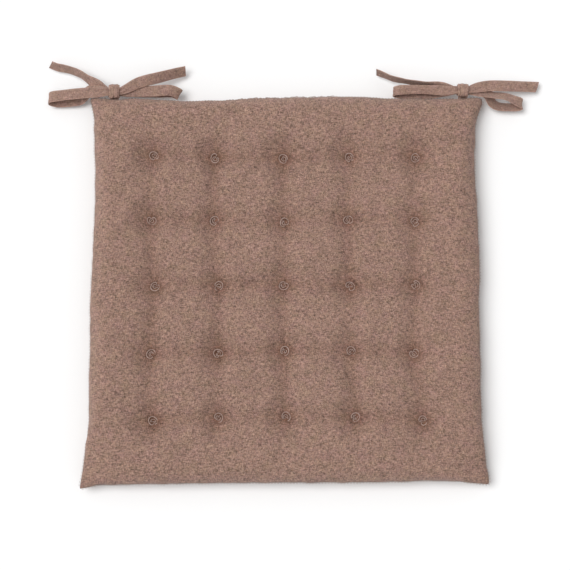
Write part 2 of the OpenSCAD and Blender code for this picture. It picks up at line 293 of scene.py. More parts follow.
def fit_outline(T, L, n):
    """Moves the border, with all its puckers, so that the seam runs where the real one does."""
    w0, w1 = spread_in(0, n), spread_in(1, n)
    ring = T.copy()
    # the gathers and the fold's own radius take a little back from each side
    left = softened(-side(SIDE_LEFT, ring[0, :, 1]) - 1.2 - ring[0, :, 0], 5)
    right = softened(side(SIDE_RIGHT, ring[-1, :, 1]) + 2.2 - ring[-1, :, 0], 5)
    front = softened(-side(SIDE_FRONT, ring[:, 0, 0]) - 2.0 - ring[:, 0, 1], 5)
    rear = softened(side(SIDE_BACK, ring[:, -1, 0]) + 1.6 - ring[:, -1, 1], 5)
    n0, n1 = ring[0, :, 1], ring[:, 0, 0]
    left = left + 0.7 * value_noise(n0 / 8 + 3, n0 * 0 + 0.5, 51)
    right = right + 0.7 * value_noise(n0 / 8 + 3, n0 * 0 + 0.5, 52)
    front = front + 0.7 * value_noise(n1 / 8 + 3, n1 * 0 + 0.5, 53)
    rear = rear + 0.7 * value_noise(n1 / 8 + 3, n1 * 0 + 0.5, 54)
    for P in (T, L):
        P[..., 0] += left[None, :] * w0[:, None] + right[None, :] * w1[:, None]
        P[..., 1] += front[:, None] * w0[None, :] + rear[:, None] * w1[None, :]


def round_ears(T, L):
    """Turns each sharp corner of the outline into an ear of the given radius."""
    for a, b, sx, sy, rad in ((-1, -1, 1, 1, 13), (0, -1, -1, 1, 7), (-1, 0, 1, -1, 3), (0, 0, -1, -1, 3)):
        c = T[a, b, :2].copy()
        for P in (T, L):
            p, q = rad - sx * (c[0] - P[..., 0]), rad - sy * (c[1] - P[..., 1])
            m = (p > 0) & (q > 0)
            f = np.where(m, np.maximum(p, q) / np.maximum(np.hypot(p, q), 1e-9), 1.0)
            P[..., 0] += np.where(m, sx * p * (f - 1), 0)
            P[..., 1] += np.where(m, sy * q * (f - 1), 0)


def finish_cover(o, info, shape):
    n = info["n"]
    T = shape[: n * n].reshape(n, n, 3).copy()
    L = shape[info["low_id"]].reshape(n, n, 3).copy()
    U, V = info["U"], info["V"]
    fit_outline(T, L, n)
    inside = lambda w: smooth_step((2 * PITCH + 26 - np.abs(w)) / 30)
    r = np.hypot(near(U), near(V))
    off_tuft = smooth_step((r - 4.5) / 9)
    line = lambda a, b, wide: np.exp(-((near(a) / wide) ** 2)) * inside(b)
    wander = 0.75 + 0.45 * value_noise(U / 31 + 7, V / 31 + 3, 5)
    valley = np.maximum(line(U, V, 7.5), 0.85 * line(V, U, 7.5)) * wander * off_tuft
    T[..., 2] -= 3.2 * valley
    L[..., 2] += 1.2 * valley
    # the cloth stands up steeply round each tuft and is nearly full a short way off
    T[..., 2] += 2.6 * (r / 11) * np.exp(1 - r / 11) * (np.maximum(np.abs(U), np.abs(V)) < 2 * PITCH + 30)
    # uneven filling: low lumps a few centimetres across, and finer ones under the cloth
    border = smooth_step((196 - np.maximum(np.abs(U), np.abs(V))) / 34)
    lump = 0.8 * value_noise(U / 24 + 3, V / 24 + 9, 21) + 0.45 * value_noise(U / 11 + 1, V / 11 + 5, 22)
    T[..., 2] += lump * border * off_tuft
    # small slack ripples in the border, across the seam, where the cloth is taken up by the stitching
    gap_e = np.minimum(193 - np.abs(U), 192 - np.abs(V))
    along = np.where(193 - np.abs(U) < 192 - np.abs(V), V, U)
    ripple = (value_noise(along / 5.5 + 11, np.full_like(along, 0.5) + np.sign(U) + 2 * np.sign(V), 31)
              + 0.6 * value_noise(along / 2.9 + 2, np.full_like(along, 0.5) + np.sign(U), 32))
    amount = np.exp(-((gap_e - 5) / 9) ** 2)
    T[..., 2] += 0.75 * ripple * amount
    L[..., 2] -= 0.75 * ripple * amount
    # the seam itself: drawn in a little at each gather
    seam = np.exp(-gap_e / 2.2)
    take = 0.45 + 0.55 * value_noise(along / 7 + 5, np.full_like(along, 1.5) + np.sign(V), 33)
    for P in (T, L):
        P[..., 0] -= np.sign(U) * take * 0.9 * seam * (np.abs(U) > np.abs(V))
        P[..., 1] -= np.sign(V) * take * 0.9 * seam * (np.abs(V) >= np.abs(U))
    round_ears(T, L)
    # the corners hang a little
    hang = 3.0 * smooth_step(1 - np.hypot(199 - np.abs(T[..., 0]), 193 - np.abs(T[..., 1])) / 75)
    T[..., 2] -= hang
    L[..., 2] -= hang
    # the underside is pressed flat where it rests
    soft = 1.1
    L[..., 2] = np.where(L[..., 2] < soft, soft * np.exp(np.clip((L[..., 2] - soft) / soft / 1.6, -6, 0)), L[..., 2])
    L[..., 2] = np.maximum(L[..., 2] - soft * math.exp(-6), 0.02)
    e = info["edge"]
    L[e] = T[e]
    out = np.empty_like(shape)
    out[: n * n] = T.reshape(-1, 3)
    out[info["low_id"]] = L.reshape(-1, 3)
    o.data.vertices.foreach_set("co", (out * MM).astype(np.float32).ravel())
    rest = info["rest"].copy()
    rest[n * n :, 2] = 0
    rest[: n * n, 2] = 1
    edge_near = np.zeros(len(rest), np.float32)
    edge_near[: n * n] = np.exp(-gap_e.ravel() / 1.6)
    edge_near[info["low_id"]] = np.exp(-gap_e.ravel() / 1.6)
    cloth_coordinates(o, rest)
    a = o.data.attributes.new("seam", "FLOAT", "POINT")
    a.data.foreach_set("value", edge_near)
    # painted shade: the cloth colour is darkened round each tuft and along the valleys between tufts, where shade falls
    # in the hollows
    a = o.data.attributes.new("dimple", "FLOAT", "POINT")
    d = np.zeros(len(rest), np.float32)
    rd = np.hypot(near(U) + 1.3, near(V) + 1.5)
    shade_depth = 1.0 * np.exp(-np.clip((rd - 5.0) / 3.9, 0, None) ** 1.3) + 0.26 * np.exp(-((rd / 17) ** 2))
    shade_depth *= np.maximum(np.abs(U), np.abs(V)) < 2 * PITCH + 34
    d[: n * n] = (shade_depth + 0.33 * np.maximum(line(U, V, 6.0), 0.95 * line(V, U, 6.0)) * wander).ravel()
    d[info["low_id"]] = d[: n * n]
    a.data.foreach_set("value", d)
    o.data.update()
    m = o.modifiers.new("Subdivision", "SUBSURF")
    m.levels = m.render_levels = 1
    return T, L


# ---------------------------------------------------------------- tubes and tapes
def tube(points, radius, sides=6, cap=True):
    """Verts and faces of a round thread along points, in mm."""
    p = np.asarray(points, float)
    t = unit(np.gradient(p, axis=0))
    ref = np.array([0, 0, 1.0]) if abs(t[0, 2]) < 0.9 else np.array([1.0, 0, 0])
    nrm = [unit(np.cross(np.cross(t[0], ref), t[0])[None])[0]]
    for k in range(1, len(p)):
        v = nrm[-1] - t[k] * (nrm[-1] @ t[k])
        nrm.append(v / np.linalg.norm(v))
    nrm = np.array(nrm)
    b = np.cross(t, nrm)
    a = np.arange(sides) / sides * 2 * np.pi
    rad = np.broadcast_to(np.asarray(radius, float), (len(p),))[:, None, None]
    v = p[:, None] + rad * (np.cos(a)[None, :, None] * nrm[:, None] + np.sin(a)[None, :, None] * b[:, None])
    v = v.reshape(-1, 3)
    f = [(i * sides + j, i * sides + (j + 1) % sides, (i + 1) * sides + (j + 1) % sides, (i + 1) * sides + j)
         for i in range(len(p) - 1) for j in range(sides)]
    if cap:
        f += [tuple(range(sides))[::-1], tuple((len(p) - 1) * sides + j for j in range(sides))]
    return v, f


def capsule_points(a, b, bow, k=5):
    """A short stitch from a to b that stands out along bow."""
    a, b, bow = (np.asarray(x, float) for x in (a, b, bow))
    s = np.linspace(0, 1, k)
    return a + (b - a) * s[:, None] + bow * (np.sin(np.pi * s))[:, None]


def joined(name, parts, cloth=None):
    """One mesh object from many (verts, faces)."""
    vs, fs, n = [], [], 0
    for v, f in parts:
        vs.append(v)
        fs += [tuple(i + n for i in q) for q in f]
        n += len(v)
    o = new_mesh(name, np.vstack(vs), fs)
    if cloth is not None:
        cloth_coordinates(o, np.vstack(cloth))
    return o


def frames_of(rows, k):
    p = catmull(rows, k)
    c = p[:, :3]
    t = unit(np.gradient(c, axis=0))
    yaw, tilt = np.radians(p[:, 3]), np.radians(p[:, 4])
    w = np.stack([-np.sin(yaw) * np.cos(tilt), np.cos(yaw) * np.cos(tilt), np.sin(tilt)], 1)
    w = unit(w - t * (w * t).sum(1, keepdims=True))
    return c, t, w, np.cross(t, w), p[:, 5]


TAPE_W, TAPE_T = 11.2, 1.0


def tape(name, rows, seed, k=9, skew=0.0):
    """A folded, topstitched strip along its route, gathered where its width is drawn in."""
    c, t, w, nrm, share = frames_of(rows, k)
    n = len(c)
    along = np.concatenate([[0], np.cumsum(np.linalg.norm(np.diff(c, axis=0), axis=1))])
    total = along[-1]
    r = np.random.default_rng(seed)
    # s runs round the section: over the top from one edge to the other, and back under
    half = np.array([1, 0.93, 0.84, 0.76, 0.66, 0.5, 0.3, 0.1, -0.1, -0.3, -0.5, -0.66, -0.76, -0.84, -0.93, -1])
    s = np.concatenate([half, half[::-1][1:-1]])
    side_sign = np.concatenate([[0], np.ones(len(half) - 2), [0], -np.ones(len(half) - 2)])
    body = np.sqrt(np.clip(1 - np.abs(s) ** 7, 0, 1))
    groove = 1 - 0.42 * np.exp(-((np.abs(s) - 0.78) / 0.055) ** 2)
    thick = TAPE_T / 2 * body * groove * side_sign
    gather = np.clip((1 - share) / 0.25, 0, 1)
    verts, cloth = [], []
    ph = r.uniform(0, 6.28, 3)
    for i in range(n):
        a = along[i]
        hw = TAPE_W / 2 * share[i] * (1 + 0.02 * math.sin(a / 9 + ph[0]))
        end = min(a, total - a)
        hem = 1 + 0.35 * smooth_step((7.0 - end) / 2.0)          # the turned-in end is thicker
        cup = (0.35 * math.sin(a / 17 + ph[1]) - 0.25) * (1 - gather[i])
        wave = 0.22 * math.sin(a / 6.3 + ph[2]) + 0.12 * math.sin(a / 2.7 + ph[0])
        pleat = gather[i] * 0.55 * np.cos(s * 6.6 + ph[1])
        crease = (1 - gather[i]) * 0.16 * np.sin(a / 3.1 + s * 2.4 + ph[2])
        lift = cup * (s * s - 0.4) + wave * 0.5 + pleat + crease
        slant = skew * smooth_step((14 - (total - a)) / 14) * s
        verts.append(c[i] + (s * hw)[:, None] * w[i] + slant[:, None] * t[i] + (thick * hem + lift)[:, None] * nrm[i])
        cloth.append(np.stack([np.full(len(s), a), s * TAPE_W / 2, side_sign], 1))
    m = len(s)
    verts, cloth = np.vstack(verts), np.vstack(cloth)
    faces = [(i * m + j, (i + 1) * m + j, (i + 1) * m + (j + 1) % m, i * m + (j + 1) % m)
             for i in range(n - 1) for j in range(m)]
    # close the square ends with a strip between the two faces
    q = len(half)
    for base, flip in ((0, False), ((n - 1) * m, True)):
        for j in range(q - 1):
            x, y = base + j, base + j + 1
            lo = lambda z: base + (m - (z - base)) % m if z - base else base
            a4 = [x, y, lo(y) if y - base < q - 1 else y, lo(x)]
            f = []
            for z in a4:
                if z not in f:
                    f.append(z)
            if len(f) > 2:
                faces.append(tuple(f[::-1] if not flip else f))
    o = new_mesh(name, verts, faces)
    cloth_coordinates(o, cloth)
    # topstitching along one edge, seen on both faces
    parts = []
    for face in (1, -1):
        pos = 2.0
        while pos < total - 3:
            q0, q1 = pos, pos + 2.1
            pts = []
            for a in (q0, q1):
                i = np.searchsorted(along, a) - 1
                i = int(np.clip(i, 0, n - 2))
                f = (a - along[i]) / max(along[i + 1] - along[i], 1e-9)
                col = 3 if face > 0 else m - 3
                P0, P1 = verts[i * m + col], verts[(i + 1) * m + col]
                pts.append(P0 * (1 - f) + P1 * f + face * 0.07 * nrm[i])
                last = nrm[i]
            parts.append(tube(capsule_points(pts[0], pts[1], face * 0.12 * last), np.array([0.1, 0.17, 0.18, 0.17, 0.1]), 5))
            pos += 2.9
    return o, parts, c * MM, total * MM


def knot_band(name, x, y, z, yaw, roll, seed, big=1.0, lean=0.25):
    """The turn of tape round the crossing layers, creased along its length and pinched at its edges."""
    r = np.random.default_rng(seed)
    around, across = 56, 21
    th = np.arange(around) / around * 2 * np.pi
    sx = np.linspace(-1, 1, across)
    verts, cloth = [], []
    ph = r.uniform(0, 6.28, 4)
    for side_i in (1, 0):                          # outer skin, then inner skin
        for i, a in enumerate(th):
            ca, sa = math.cos(a), math.sin(a)
            e = 2.6
            ry = 6.4 * big * np.sign(ca) * abs(ca) ** (2 / e)
            rz = 4.3 * np.sign(sa) * abs(sa) ** (2 / e)
            barrel = 1 + 0.07 * (1 - sx**2) - 0.05 * np.abs(sx) ** 6
            fold = 0.30 * np.sin(sx * 7.5 + ph[0] + 0.5 * math.sin(a + ph[1])) + 0.14 * np.sin(sx * 15 + ph[2])
            fold = fold * (0.6 + 0.4 * math.cos(a - 1.3)) - 0.5 * np.abs(sx) ** 8
            skin = (0.55 if side_i else -0.55) + (fold if side_i else 0.3 * fold)
            d = unit(np.array([[0, ry / 6.4**2, rz / 4.3**2]]))[0]
            half_w = 5.6 * (1 + 0.05 * math.sin(2 * a + ph[3]) - 0.10 * max(sa, 0))
            P = np.stack([sx * half_w + 0.5 * sa, ry * barrel + d[1] * skin, rz * barrel + d[2] * skin], 1)
            verts.append(P)
            cloth.append(np.stack([np.full(across, a * 6), sx * 5.6, np.full(across, 1.0)], 1))
    V = np.vstack(verts)
    cy, sy, cr, sr = math.cos(yaw), math.sin(yaw), math.cos(roll), math.sin(roll)
    V = V @ np.array([[cy, sy, 0], [-sy, cy, 0], [0, 0, 1]])
    V = V @ np.array([[cr, 0, -sr], [0, 1, 0], [sr, 0, cr]])
    V[:, 1] -= lean * V[:, 2]
    V = V + np.array([x, y, z])
    m, k = across, around * across
    f = []
    for i in range(around):
        ni = (i + 1) % around
        for j in range(m - 1):
            f.append((i * m + j, i * m + j + 1, ni * m + j + 1, ni * m + j))
            f.append((k + i * m + j, k + ni * m + j, k + ni * m + j + 1, k + i * m + j + 1))
        f.append((i * m, ni * m, k + ni * m, k + i * m))
        f.append((i * m + m - 1, k + i * m + m - 1, k + ni * m + m - 1, ni * m + m - 1))
    o = new_mesh(name, V, f)
    cloth_coordinates(o, np.vstack(cloth))
    m = o.modifiers.new("Subdivision", "SUBSURF")
    m.levels = m.render_levels = 1
    return o


# ---------------------------------------------------------------- materials
HUE = (0.985, 0.925, 0.895, 1)


class Nodes:
    def __init__(self, name):
        self.mat = bpy.data.materials.new(name)
        self.mat.use_nodes = True
        self.t = self.mat.node_tree
        self.bsdf = self.t.nodes["Principled BSDF"]

    def put(self, socket, v):
        if isinstance(v, bpy.types.NodeSocket):
            self.t.links.new(v, socket)
        else:
            socket.default_value = v

    def math(self, op, a, b=0.0, c=None, clamp=False):
        n = self.t.nodes.new("ShaderNodeMath")
        n.operation, n.use_clamp = op, clamp
        self.put(n.inputs[0], a)
        self.put(n.inputs[1], b)
        if c is not None:
            self.put(n.inputs[2], c)
        return n.outputs[0]

    def attribute(self, name, fac=False):
        n = self.t.nodes.new("ShaderNodeAttribute")
        n.attribute_type, n.attribute_name = "GEOMETRY", name
        return n.outputs["Fac" if fac else "Vector"]

    def split(self, v):
        n = self.t.nodes.new("ShaderNodeSeparateXYZ")
        self.put(n.inputs[0], v)
        return n.outputs

    def joint(self, x, y, z=0.0):
        n = self.t.nodes.new("ShaderNodeCombineXYZ")
        for s, v in zip(n.inputs, (x, y, z)):
            self.put(s, v)
        return n.outputs[0]

    def noise(self, vec, scale, detail=2.0, rough=0.5):
        n = self.t.nodes.new("ShaderNodeTexNoise")
        n.noise_dimensions = "3D"
        self.put(n.inputs["Vector"], vec)
        n.inputs["Scale"].default_value = scale
        n.inputs["Detail"].default_value = detail
        n.inputs["Roughness"].default_value = rough
        return n.outputs["Fac"]

    def mix(self, fac, a, b, mode="MIX"):
        n = self.t.nodes.new("ShaderNodeMix")
        n.data_type, n.blend_type = "RGBA", mode
        self.put(n.inputs["Factor"], fac)
        self.put(n.inputs[6], a)
        self.put(n.inputs[7], b)
        return n.outputs[2]

    def ramp(self, fac, stops):
        n = self.t.nodes.new("ShaderNodeValToRGB")
        self.put(n.inputs[0], fac)
        e = n.color_ramp.elements
        while len(e) < len(stops):
            e.new(0.5)
        for x, (p, c) in zip(e, stops):
            x.position, x.color = p, c
        return n.outputs[0]

    def bump(self, height, distance, strength, normal=None):
        n = self.t.nodes.new("ShaderNodeBump")
        n.inputs["Strength"].default_value = strength
        n.inputs["Distance"].default_value = distance
        self.put(n.inputs["Height"], height)
        if normal is not None:
            self.put(n.inputs["Normal"], normal)
        return n.outputs[0]


def woven(name, warp, weft, pitch, gain=1.0, seam=False, edge_highlight=False, speck=1.0):
    """Plain weave in two yarn colours, drawn on the flat cloth in millimetres."""
    k = Nodes(name)
    xyz = k.split(k.attribute("cloth"))
    u, v, w = xyz[0], xyz[1], xyz[2]
    pu, pv = k.math("DIVIDE", u, pitch), k.math("DIVIDE", v, pitch)
    # yarns wander and vary in thickness
    wob = k.noise(k.joint(k.math("MULTIPLY", u, 0.12), k.math("MULTIPLY", v, 0.12), w), 1.0, 3)
    pu = k.math("ADD", pu, k.math("MULTIPLY", wob, 1.6))
    pv = k.math("ADD", pv, k.math("MULTIPLY", wob, -1.3))
    su, sv = k.math("SINE", k.math("MULTIPLY", pu, math.pi)), k.math("SINE", k.math("MULTIPLY", pv, math.pi))
    over = k.math("GREATER_THAN", k.math("MULTIPLY", su, sv), 0.0)
    au, av = k.math("ABSOLUTE", su), k.math("ABSOLUTE", sv)
    height = k.math("ADD", k.math("MULTIPLY", over, au), k.math("MULTIPLY", k.math("SUBTRACT", 1.0, over), av))
    # colour along each warp yarn and each weft yarn: melange, with slubs
    warp_n = k.noise(k.joint(k.math("MULTIPLY", u, 1.9), k.math("MULTIPLY", v, 0.22), w), 1.0, 3, 0.65)
    weft_n = k.noise(k.joint(k.math("MULTIPLY", u, 0.22), k.math("MULTIPLY", v, 1.9), k.math("ADD", w, 9.0)), 1.0, 3, 0.65)
    speck_n = k.noise(k.joint(k.math("MULTIPLY", u, 1.6), k.math("MULTIPLY", v, 1.6), k.math("ADD", w, 3.0)), 1.0, 3, 0.7)
    cloud = k.noise(k.joint(k.math("MULTIPLY", u, 0.035), k.math("MULTIPLY", v, 0.035), w), 1.0, 2)
    warp_c = k.ramp(warp_n, [(0.30, warp[0]), (0.52, warp[1]), (0.72, warp[2])])
    weft_c = k.ramp(weft_n, [(0.30, weft[0]), (0.50, weft[1]), (0.70, weft[2])])
    col = k.mix(over, weft_c, warp_c)
    # thicker and thinner, paler and darker lengths of yarn, along both directions of the weave
    yarn_u = k.math("MULTIPLY", k.math("FLOOR", k.math("DIVIDE", u, 0.82)), 7.31)
    yarn_v = k.math("MULTIPLY", k.math("FLOOR", k.math("DIVIDE", v, 0.82)), 7.31)
    run_u = k.noise(k.joint(k.math("MULTIPLY", u, 0.24), yarn_v, k.math("ADD", w, 21.0)), 1.0, 3, 0.65)
    run_v = k.noise(k.joint(yarn_u, k.math("MULTIPLY", v, 0.30), k.math("ADD", w, 33.0)), 1.0, 3, 0.65)
    g = k.math("ADD", 1.0, k.math("MULTIPLY", k.math("SUBTRACT", speck_n, 0.5), 0.6 * speck))
    g = k.math("ADD", g, k.math("MULTIPLY", k.math("SUBTRACT", run_u, 0.5), 2.4 * speck))
    g = k.math("ADD", g, k.math("MULTIPLY", k.math("SUBTRACT", run_v, 0.5), 2.25 * speck))
    g = k.math("MULTIPLY", g, k.math("ADD", 1.0, k.math("MULTIPLY", k.math("SUBTRACT", cloud, 0.5), 0.16)))
    # painted shade: each yarn is darker where it dips under its neighbour and lighter on its crown
    g = k.math("MULTIPLY", g, k.math("ADD", 0.80, k.math("MULTIPLY", height, 0.30)))
    g = k.math("MULTIPLY", g, gain)
    if seam:
        g = k.math("MULTIPLY", g, k.math("SUBTRACT", 1.0, k.math("MULTIPLY", k.attribute("seam", True), 0.30)))
        # painted shade round the tufts and along the valleys, read from the attribute made with the cover
        painted_shade = k.attribute("dimple", True)
    if edge_highlight:
        # painted highlight: the fold at each edge is a little paler, where light catches its rounded edge
        edge = k.math("SUBTRACT", k.math("ABSOLUTE", v), TAPE_W / 2 * 0.84)
        edge = k.math("MULTIPLY", edge, 1.5, clamp=True)
        g = k.math("MULTIPLY", g, k.math("ADD", 1.0, k.math("MULTIPLY", edge, 0.38)))
    g = k.math("MAXIMUM", g, 0.25)
    tone = k.math("MULTIPLY", k.math("SUBTRACT", k.noise(k.joint(k.math("MULTIPLY", u, 0.5), k.math("MULTIPLY", v, 0.5), k.math("ADD", w, 50.0)), 1.0, 3), 0.5), 0.45)
    tint = k.joint(k.math("MULTIPLY", g, k.math("ADD", 1.0, k.math("MULTIPLY", tone, 0.35))), k.math("MULTIPLY", g, k.math("SUBTRACT", 1.0, k.math("MULTIPLY", tone, 0.12))),
                   k.math("MULTIPLY", g, k.math("SUBTRACT", 1.0, k.math("MULTIPLY", tone, 0.5))))
    col = k.mix(1.0, col, tint, "MULTIPLY")
    col = k.mix(1.0, col, HUE, "MULTIPLY")
    patch = k.noise(k.joint(k.math("MULTIPLY", u, 0.085), k.math("MULTIPLY", v, 0.085), k.math("ADD", w, 70.0)), 1.0, 2, 0.6)
    patch = k.math("SUBTRACT", patch, 0.5)
    col = k.mix(1.0, col, k.joint(k.math("ADD", 1.0, k.math("MULTIPLY", patch, 0.10)), k.math("SUBTRACT", 1.0, k.math("MULTIPLY", patch, 0.06)),
                                  k.math("ADD", 1.0, k.math("MULTIPLY", patch, 0.22))), "MULTIPLY")
    if seam:
        # painted shade: the colour is darker and warmer round each tuft and along the valleys between tufts, where
        # shade falls in the hollows
        col = k.mix(1.0, col, k.joint(*[k.math("SUBTRACT", 1.0, k.math("MULTIPLY", painted_shade, q)) for q in (0.33, 0.41, 0.45)]), "MULTIPLY")
    k.put(k.bsdf.inputs["Base Color"], col)
    fuzz = k.noise(k.joint(k.math("MULTIPLY", u, 3.3), k.math("MULTIPLY", v, 3.3), w), 1.0, 2)
    hgt = k.math("ADD", height, k.math("MULTIPLY", fuzz, 0.5))
    hgt = k.math("ADD", hgt, k.math("MULTIPLY", speck_n, 2.2))
    nrm = k.bump(hgt, 0.00016, 0.75)
    k.put(k.bsdf.inputs["Normal"], nrm)
    k.put(k.bsdf.inputs["Roughness"], k.math("ADD", 0.80, k.math("MULTIPLY", fuzz, 0.16)))
    k.bsdf.inputs["Sheen Weight"].default_value = 0.18
    k.bsdf.inputs["Sheen Roughness"].default_value = 0.45
    k.bsdf.inputs["Sheen Tint"].default_value = (1.0, 0.93, 0.88, 1)
    k.bsdf.inputs["Specular IOR Level"].default_value = 0.22
    return k.mat


def spun(name, dark, light, twist):
    """Twisted yarn or thread: fibre streaks by place, and a soft sheen."""
    k = Nodes(name)
    tc = k.t.nodes.new("ShaderNodeTexCoord").outputs["Object"]
    n1 = k.noise(tc, twist, 3, 0.7)
    n2 = k.noise(tc, twist * 0.13, 2)
    g = k.math("ADD", k.math("MULTIPLY", n1, 0.7), k.math("MULTIPLY", n2, 0.35))
    k.put(k.bsdf.inputs["Base Color"], k.ramp(g, [(0.35, dark), (0.70, light)]))
    k.put(k.bsdf.inputs["Normal"], k.bump(n1, 0.0001, 0.6))
    k.put(k.bsdf.inputs["Roughness"], k.math("ADD", 0.66, k.math("MULTIPLY", n1, 0.2)))
    k.bsdf.inputs["Sheen Weight"].default_value = 0.25
    k.bsdf.inputs["Sheen Roughness"].default_value = 0.4
    return k.mat


COVER = woven("cover_cloth", [linear((122, 92, 78)), linear((143, 113, 99)), linear((160, 131, 118))],
              [linear((146, 119, 106)), linear((170, 144, 132)), linear((190, 166, 155))], 0.44, 0.98, seam=True)
TAPE = woven("tape_cloth", [linear((126, 97, 84)), linear((150, 120, 107)), linear((166, 138, 126))],
             [linear((150, 124, 112)), linear((176, 150, 139)), linear((194, 171, 161))], 0.40, 0.98, edge_highlight=True, speck=0.7)
YARN = spun("tufting_yarn", linear((122, 94, 82)), linear((206, 182, 171)), 1500.0)
THREAD = spun("sewing_thread", linear((120, 94, 82)), linear((168, 142, 130)), 2200.0)
PALE_THREAD = spun("topstitch_thread", linear((158, 132, 120)), linear((206, 184, 172)), 2200.0)


def dress(o, material, body, slot_name, *nodes):
    o.data.materials.clear()
    o.data.materials.append(material)
    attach(o, body)
    if nodes:
        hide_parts(*nodes)
    return o


# ---------------------------------------------------------------- pad
pad, info = build_cover()
shape = simulate_cover(pad, info)
TOP, LOW = finish_cover(pad, info, shape)
dress(pad, COVER, "pad", "cover_cloth", "top_cover", "bottom_cover", "fibre_filling")
N = info["n"]
MID = N // 2


# ---------------------------------------------------------------- tufts
def cloth_height(patch, x, y):
    """Height of the cloth at x, y, from the nearest points of a patch of its grid."""
    q = patch.reshape(-1, 3)
    d2 = (q[:, 0] - x[:, None]) ** 2 + (q[:, 1] - y[:, None]) ** 2
    n = np.argsort(d2, axis=1)[:, :6]
    w = 1 / (np.take_along_axis(d2, n, 1) + 0.5) ** 2
    return (w * q[n, 2]).sum(1) / w.sum(1)


def rosette(cx, cy, cz, up, seed, patch):
    """A tuft of two-ply yarn: loops lying in the hollow of the cloth, with a tie across the middle."""
    r = np.random.default_rng(seed)
    parts = []

    def strand(line, thick):
        line[:, 2] += up * (cloth_height(patch, line[:, 0] + cx, line[:, 1] + cy) - cz)
        d = unit(np.gradient(line, axis=0))
        ln = np.concatenate([[0], np.cumsum(np.linalg.norm(np.diff(line, axis=0), axis=1))])
        n1 = unit(np.cross(d, [0, 0, 1.0]) + 1e-6)
        n2 = np.cross(d, n1)
        for ply in (0, np.pi):
            ang = ln / (5.0 * thick) * 2 * np.pi + ply
            p = line + 0.44 * thick * (np.cos(ang)[:, None] * n1 + np.sin(ang)[:, None] * n2)
            p = p * [1, 1, up] + [cx, cy, cz]
            v, fc = tube(p, 0.56 * thick, 6)
            parts.append((v, [q[::-1] for q in fc] if up < 0 else fc))

    for rad, z, thick, steps in ((4.25, 0.42, 0.52, 64), (2.1, 0.6, 0.42, 36)):
        start = r.uniform(0, 2 * np.pi)
        th = start + np.linspace(0, r.uniform(1.75, 1.95) * np.pi, steps)
        e = np.linspace(-1, 1, steps) ** 12
        lean = 1 + 0.07 * np.cos(2 * th + r.uniform(0, 6)) - 0.35 * e
        ox, oy = r.uniform(-0.3, 0.3, 2)
        zz = z + 0.42 * np.cos(th - r.uniform(1.2, 3.4)) + 0.16 * np.sin(2 * th + r.uniform(0, 6)) + 0.12 * np.sin(3 * th + r.uniform(0, 6)) - 0.5 * e
        strand(np.stack([rad * lean * np.cos(th) + ox, rad * lean * np.sin(th) + oy, zz], 1), thick)
    a = r.uniform(0, np.pi)
    s = np.linspace(-1, 1, 16)
    strand(np.stack([2.9 * s * np.cos(a) - 0.3 * np.sin(a), 2.9 * s * np.sin(a) + 0.3 * np.cos(a), 1.25 - 0.3 * s * s - 0.5 * s**4], 1), 0.36)
    return parts


def tuft_place(i, j, P):
    a, b = CELLS_OUT + i * CELLS_IN, CELLS_OUT + j * CELLS_IN
    return P[a, b], P[a - 3:a + 4, b - 3:b + 4]


top_parts, low_parts = [], []
for i, j in TUFTS:
    (p, near_p), (q, near_q) = tuft_place(i, j, TOP), tuft_place(i, j, LOW)
    top_parts += rosette(p[0], p[1], p[2], 1, 100 + i * 7 + j, near_p)
    low_parts += rosette(q[0], q[1], q[2], -1, 300 + i * 7 + j, near_q)
top_rosettes = dress(joined("tuft_rosettes_upper", top_parts), YARN, "pad", "tufting_yarn", "tuft_rosettes_top", "tuft_yarns")
low_rosettes = dress(joined("tuft_rosettes_lower", low_parts), YARN, "pad", "tufting_yarn", "tuft_rosettes_bottom")


# ---------------------------------------------------------------- seam thread
def seam_ring():
    ring = np.vstack([TOP[:-1, 0], TOP[-1, :-1], TOP[1:, -1][::-1], TOP[0, 1:][::-1]])
    ring = np.vstack([ring, ring[:1]])
    ln = np.concatenate([[0], np.cumsum(np.linalg.norm(np.diff(ring, axis=0), axis=1))])
    return ring, ln


def on_ring(ring, ln, a):
    return np.stack([np.interp(a, ln, ring[:, k]) for k in range(3)], -1)


RING, RING_LN = seam_ring()
parts = []
a = 3.0
while a < RING_LN[-1] - 3:
    p, q = on_ring(RING, RING_LN, a), on_ring(RING, RING_LN, a + 1.9)
    if p[1] > 180 and min(abs(p[0] + 173), abs(p[0] - 179)) < 8:      # the ties enter the seam here
        a += 3.1
        continue
    d = unit((q - p)[None])[0]
    out = np.cross(d, [0, 0, 1.0])
    parts.append(tube(capsule_points(p - out * 0.32, q - out * 0.32, out * 0.22), np.array([0.1, 0.2, 0.22, 0.2, 0.1]), 5))
    a += 3.1
seam_thread = dress(joined("seam_thread", parts), THREAD, "pad", "sewing_thread", "perimeter_seam_thread")

# ladder of closing stitches in the middle of the back edge
parts = []
for kk in range(-8, 9):
    x = kk * 6.0
    i = int(np.argmin(np.abs(TOP[:, -1, 0] - x)))
    s0 = TOP[i, -1]
    lean = 1.2 if kk % 2 else -1.2
    parts.append(tube(capsule_points(s0 + [-2.0, -0.55, lean], s0 + [2.0, -0.55, -lean], [0, 0.75, 0]), np.array([0.14, 0.26, 0.28, 0.26, 0.14]), 6))
dress(joined("closing_stitch_thread", parts), THREAD, "pad", "sewing_thread", "closing_stitches")

# a loose loop of seam thread beside the right bow
i = int(np.argmin(np.abs(TOP[:, -1, 0] - 145)))
e = TOP[i, -1] * 0.45 + TOP[i, -2] * 0.55
th = np.linspace(-0.4, 5.2, 22)
nub = np.stack([e[0] + 1.7 * np.cos(th), e[1] + 0.4 + 1.2 * np.sin(th), e[2] + 1.1 + 0.5 * np.sin(th)], 1)
nub = np.vstack([nub[:1] + [0.6, 0.2, -1.2], nub, nub[-1:] + [0.2, -0.3, -1.4]])
dress(joined("thread_nub", [tube(nub, 0.34, 6)]), THREAD, "pad", "sewing_thread")

